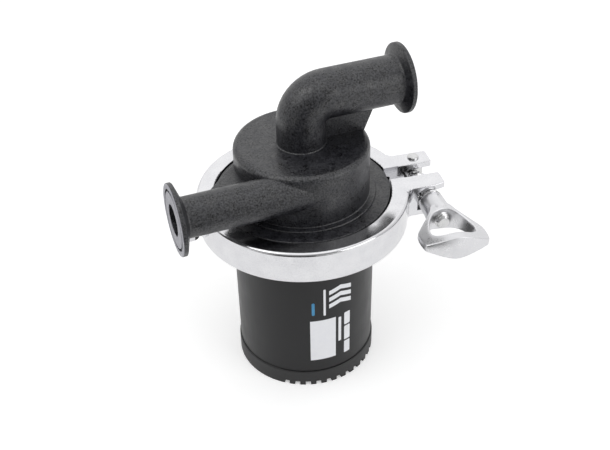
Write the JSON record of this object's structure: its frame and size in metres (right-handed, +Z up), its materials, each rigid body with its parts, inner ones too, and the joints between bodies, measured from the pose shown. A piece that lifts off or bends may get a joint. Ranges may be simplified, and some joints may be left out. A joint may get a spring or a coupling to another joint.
{
  "type": "brewing pump",
  "caption": "Magnetically driven brewing pump: moulded head with clamp-flange ports, held to a cylindrical motor by a hinged ring clamp with a wing nut.",
  "frame": {"origin": "centre of the flat underside of the base cover", "axes": "+Z up along the motor and shaft axis, +X the way the inlet port points; the outlet port points along -X"},
  "size_m": [0.1423, 0.1142, 0.1675],
  "materials": {
    "head_plastic": "moulded glass-filled plastic, fine grain",
    "can_black": "satin black coating",
    "base_plastic": "satin moulded plastic",
    "stainless": "polished cast stainless steel",
    "bolt_steel": "turned stainless steel",
    "seal_rubber": "moulded rubber",
    "isolation_plastic": "moulded plastic",
    "ceramic": "ground ceramic",
    "bush_carbon": "carbon",
    "impeller_plastic": "moulded plastic",
    "magnet": "sintered ferrite",
    "stator_steel": "stacked laminations",
    "copper": "enamelled winding",
    "lead_black": "wire insulation",
    "board_green": "circuit board",
    "board_black": "electronic components",
    "screw_steel": "plated screws",
    "socket_metal": "nickel-plated brass",
    "socket_plastic": "moulded insert",
    "pin_gold": "plated contacts"
  },
  "bodies": {
    "pump_body": {"pump_head": "head_plastic", "head_seal": "seal_rubber", "isolation_can": "isolation_plastic", "pump_shaft": "ceramic", "rear_thrust_washer": "ceramic", "front_thrust_washer": "ceramic", "motor_housing": "can_black", "stator_core": "stator_steel", "stator_coils": "copper", "phase_leads": "lead_black", "driver_board": "board_green", "board_parts": "board_black", "board_screws": "screw_steel", "base_cover": "base_plastic", "base_seal": "seal_rubber", "base_screws": "screw_steel", "power_socket": "socket_metal", "socket_insert": "socket_plastic", "socket_pins": "pin_gold", "socket_nut": "socket_metal", "power_leads": "lead_black", "clamp_rear_half": "stainless", "clamp_hinge_pin": "bolt_steel", "bolt_pivot_pin": "bolt_steel"},
    "rotor": {"impeller": "impeller_plastic", "rotor_magnet": "magnet", "rear_bush": "bush_carbon", "front_bush": "bush_carbon"},
    "front_clamp": {"clamp_front_half": "stainless"},
    "eye_bolt": {"swing_bolt": "bolt_steel"},
    "washer": {"nut_washer": "bolt_steel"},
    "nut": {"wing_nut": "stainless"}
  },
  "joints": [
    {"name": "rotor_spin", "type": "hinge", "parent": "pump_body", "child": "rotor", "pos_m": [0, 0, 0.07], "axis": [0, 0, 1], "continuous": true},
    {"name": "clamp_relax", "type": "hinge", "parent": "pump_body", "child": "front_clamp", "pos_m": [-0.05718, 0.00601, 0.0915], "axis": [0, 0, -1], "range_deg": [0, 1.85]},
    {"name": "bolt_swing", "type": "hinge", "parent": "pump_body", "child": "eye_bolt", "pos_m": [0.06156, 0.00409, 0.0915], "axis": [0, 0, 1], "range_deg": [0, 100]},
    {"name": "washer_travel", "type": "slide", "parent": "eye_bolt", "child": "washer", "axis": [-0.1045, -0.9945, 0], "range_m": [0, 0.00375]},
    {"name": "wing_nut_turn", "type": "hinge", "parent": "washer", "child": "nut", "pos_m": [0.05865, -0.02361, 0.0915], "axis": [-0.1045, -0.9945, 0], "range_deg": [0, 1080]}
  ],
  "couplings": [
    {"joint": "wing_nut_turn", "follows": "washer_travel", "rad_per_m": 5026.5},
    {"joint": "clamp_relax", "follows": "washer_travel", "rad_per_m": 8.4531}
  ]
}
